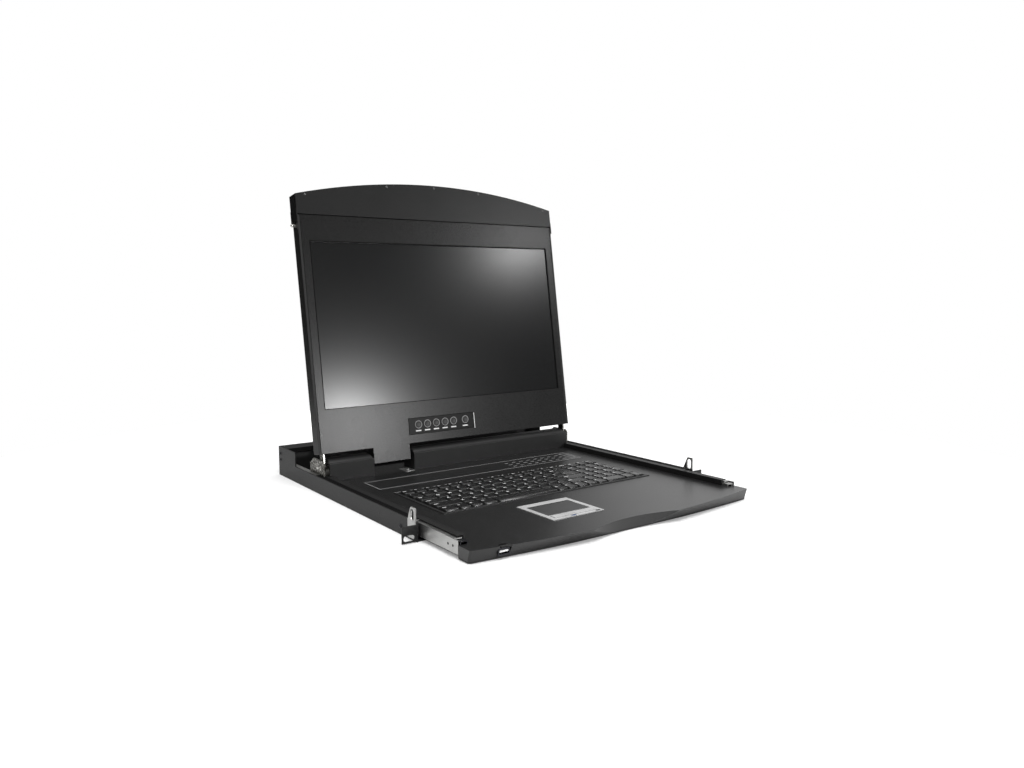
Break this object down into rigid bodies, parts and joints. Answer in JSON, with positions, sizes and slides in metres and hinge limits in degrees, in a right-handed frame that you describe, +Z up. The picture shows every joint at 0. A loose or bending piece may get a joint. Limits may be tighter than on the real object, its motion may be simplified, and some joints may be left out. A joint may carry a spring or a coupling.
{
  "type": "rackmount lcd console drawer",
  "caption": "Low rackmount console drawer: sliding tray with keyboard and touch pad, fold-up flat screen with arched cap, telescopic slides and rear port box.",
  "frame": {"origin": "on the plane that the housing stands on, under the middle of the whole assembly's box", "axes": "+X to the user's right, +Y to the rear of the rack, +Z up"},
  "size_m": [0.4826, 0.5361, 0.4301],
  "materials": {
    "powder_coat": "fine textured black powder coat",
    "bezel_coat": "fine textured dark grey coat",
    "black_plastic": "black, moulded, matt",
    "key_plastic": "black key caps, fine matt",
    "zinc_plate": "zinc plated sheet",
    "bright_steel": "bright steel",
    "circuit_board": "green solder mask",
    "port_metal": "nickel plated",
    "screw_black": "black zinc",
    "membrane_film": "satin film",
    "silver_plastic": "silver paint",
    "pad_film": "dark grey, satin",
    "screen_glass": "dark satin screen"
  },
  "bodies": {
    "housing": {"side_rail_left": "powder_coat", "side_rail_right": "powder_coat", "lock_plate_left": "zinc_plate", "lock_plate_right": "zinc_plate", "slide_outer_left": "zinc_plate", "slide_outer_right": "zinc_plate", "rear_base": "powder_coat", "rear_panel": "powder_coat", "switch_board": "circuit_board", "power_board": "circuit_board", "module_cover": "powder_coat", "computer_ports": "port_metal", "console_ports": "port_metal", "power_inlet": "black_plastic", "housing_screws": "screw_black"},
    "power_switch": {"power_switch": "black_plastic"},
    "slide_middle_left": {"slide_middle_left": "zinc_plate"},
    "slide_middle_right": {"slide_middle_right": "zinc_plate"},
    "drawer": {"drawer_base": "powder_coat", "palm_deck": "powder_coat", "slide_inner_left": "zinc_plate", "slide_inner_right": "zinc_plate", "usb_port": "port_metal", "keyboard_frame": "black_plastic", "controller_board": "circuit_board", "status_strip": "membrane_film", "touchpad_frame": "silver_plastic", "touchpad_surface": "pad_film", "hinge_cover_left": "powder_coat", "hinge_cover_right": "powder_coat", "hinge_bracket_left": "bright_steel", "hinge_bracket_right": "bright_steel", "drawer_screws": "screw_black"},
    "key_row_1": {"key_row_1": "key_plastic"},
    "key_row_2": {"key_row_2": "key_plastic"},
    "key_row_3": {"key_row_3": "key_plastic"},
    "key_row_4": {"key_row_4": "key_plastic"},
    "key_row_5": {"key_row_5": "key_plastic"},
    "key_row_6": {"key_row_6": "key_plastic"},
    "touchpad_button_left": {"touchpad_button_left": "silver_plastic"},
    "touchpad_button_right": {"touchpad_button_right": "silver_plastic"},
    "screen": {"lcd_rear_shell": "powder_coat", "lcd_bezel": "bezel_coat", "lcd_panel": "screen_glass", "lcd_board": "circuit_board", "osd_plate": "black_plastic", "top_cap": "powder_coat", "lcd_screws": "screw_black", "hinge_shaft_left": "bright_steel", "hinge_shaft_right": "bright_steel"},
    "osd_button_1": {"osd_button_1": "black_plastic"},
    "osd_button_2": {"osd_button_2": "black_plastic"},
    "osd_button_3": {"osd_button_3": "black_plastic"},
    "osd_button_4": {"osd_button_4": "black_plastic"},
    "osd_button_5": {"osd_button_5": "black_plastic"},
    "osd_button_6": {"osd_button_6": "black_plastic"},
    "lock_pin_left": {"lock_pin_left": "bright_steel"},
    "lock_pin_right": {"lock_pin_right": "bright_steel"}
  },
  "joints": [
    {"name": "drawer_slide", "type": "slide", "parent": "housing", "child": "drawer", "axis": [0, -1, 0], "range_m": [-0.0631, 0.3]},
    {"name": "slide_middle_left_slide", "type": "slide", "parent": "housing", "child": "slide_middle_left", "axis": [0, -1, 0], "range_m": [-0.05679, 0.27]},
    {"name": "slide_middle_right_slide", "type": "slide", "parent": "housing", "child": "slide_middle_right", "axis": [0, -1, 0], "range_m": [-0.05679, 0.27]},
    {"name": "screen_hinge", "type": "hinge", "parent": "drawer", "child": "screen", "pos_m": [0, 0.12926, 0.0335], "axis": [-1, 0, 0], "range_deg": [-99, 11]},
    {"name": "power_switch_rock", "type": "hinge", "parent": "housing", "child": "power_switch", "pos_m": [-0.16, 0.26536, 0.0217], "axis": [1, 0, 0], "range_deg": [-8, 0]},
    {"name": "key_row_1_press", "type": "slide", "parent": "drawer", "child": "key_row_1", "axis": [0, 0, -1], "range_m": [0, 0.0018], "stiffness_N_per_m": 1000, "springref_m": -0.001},
    {"name": "key_row_2_press", "type": "slide", "parent": "drawer", "child": "key_row_2", "axis": [0, 0, -1], "range_m": [0, 0.0018], "stiffness_N_per_m": 1000, "springref_m": -0.001},
    {"name": "key_row_3_press", "type": "slide", "parent": "drawer", "child": "key_row_3", "axis": [0, 0, -1], "range_m": [0, 0.0018], "stiffness_N_per_m": 1000, "springref_m": -0.001},
    {"name": "key_row_4_press", "type": "slide", "parent": "drawer", "child": "key_row_4", "axis": [0, 0, -1], "range_m": [0, 0.0018], "stiffness_N_per_m": 1000, "springref_m": -0.001},
    {"name": "key_row_5_press", "type": "slide", "parent": "drawer", "child": "key_row_5", "axis": [0, 0, -1], "range_m": [0, 0.0018], "stiffness_N_per_m": 1000, "springref_m": -0.001},
    {"name": "key_row_6_press", "type": "slide", "parent": "drawer", "child": "key_row_6", "axis": [0, 0, -1], "range_m": [0, 0.0018], "stiffness_N_per_m": 1000, "springref_m": -0.001},
    {"name": "touchpad_button_left_press", "type": "slide", "parent": "drawer", "child": "touchpad_button_left", "axis": [0, 0, -1], "range_m": [0, 0.0006], "stiffness_N_per_m": 800, "springref_m": -0.0006},
    {"name": "touchpad_button_right_press", "type": "slide", "parent": "drawer", "child": "touchpad_button_right", "axis": [0, 0, -1], "range_m": [0, 0.0006], "stiffness_N_per_m": 800, "springref_m": -0.0006},
    {"name": "osd_button_1_press", "type": "slide", "parent": "screen", "child": "osd_button_1", "axis": [0, 0.9877, -0.1564], "range_m": [0, 0.0008], "stiffness_N_per_m": 400, "springref_m": -0.0005},
    {"name": "osd_button_2_press", "type": "slide", "parent": "screen", "child": "osd_button_2", "axis": [0, 0.9877, -0.1564], "range_m": [0, 0.0008], "stiffness_N_per_m": 400, "springref_m": -0.0005},
    {"name": "osd_button_3_press", "type": "slide", "parent": "screen", "child": "osd_button_3", "axis": [0, 0.9877, -0.1564], "range_m": [0, 0.0008], "stiffness_N_per_m": 400, "springref_m": -0.0005},
    {"name": "osd_button_4_press", "type": "slide", "parent": "screen", "child": "osd_button_4", "axis": [0, 0.9877, -0.1564], "range_m": [0, 0.0008], "stiffness_N_per_m": 400, "springref_m": -0.0005},
    {"name": "osd_button_5_press", "type": "slide", "parent": "screen", "child": "osd_button_5", "axis": [0, 0.9877, -0.1564], "range_m": [0, 0.0008], "stiffness_N_per_m": 400, "springref_m": -0.0005},
    {"name": "osd_button_6_press", "type": "slide", "parent": "screen", "child": "osd_button_6", "axis": [0, 0.9877, -0.1564], "range_m": [0, 0.0008], "stiffness_N_per_m": 400, "springref_m": -0.0005},
    {"name": "lock_pin_left_slide", "type": "slide", "parent": "screen", "child": "lock_pin_left", "axis": [-1, 0, 0], "range_m": [-0.0045, 0], "stiffness_N_per_m": 500, "springref_m": 0.003},
    {"name": "lock_pin_right_slide", "type": "slide", "parent": "screen", "child": "lock_pin_right", "axis": [1, 0, 0], "range_m": [-0.0045, 0], "stiffness_N_per_m": 500, "springref_m": 0.003}
  ],
  "couplings": [
    {"joint": "slide_middle_left_slide", "follows": "drawer_slide", "ratio": 0.9},
    {"joint": "slide_middle_right_slide", "follows": "drawer_slide", "ratio": 0.9}
  ]
}
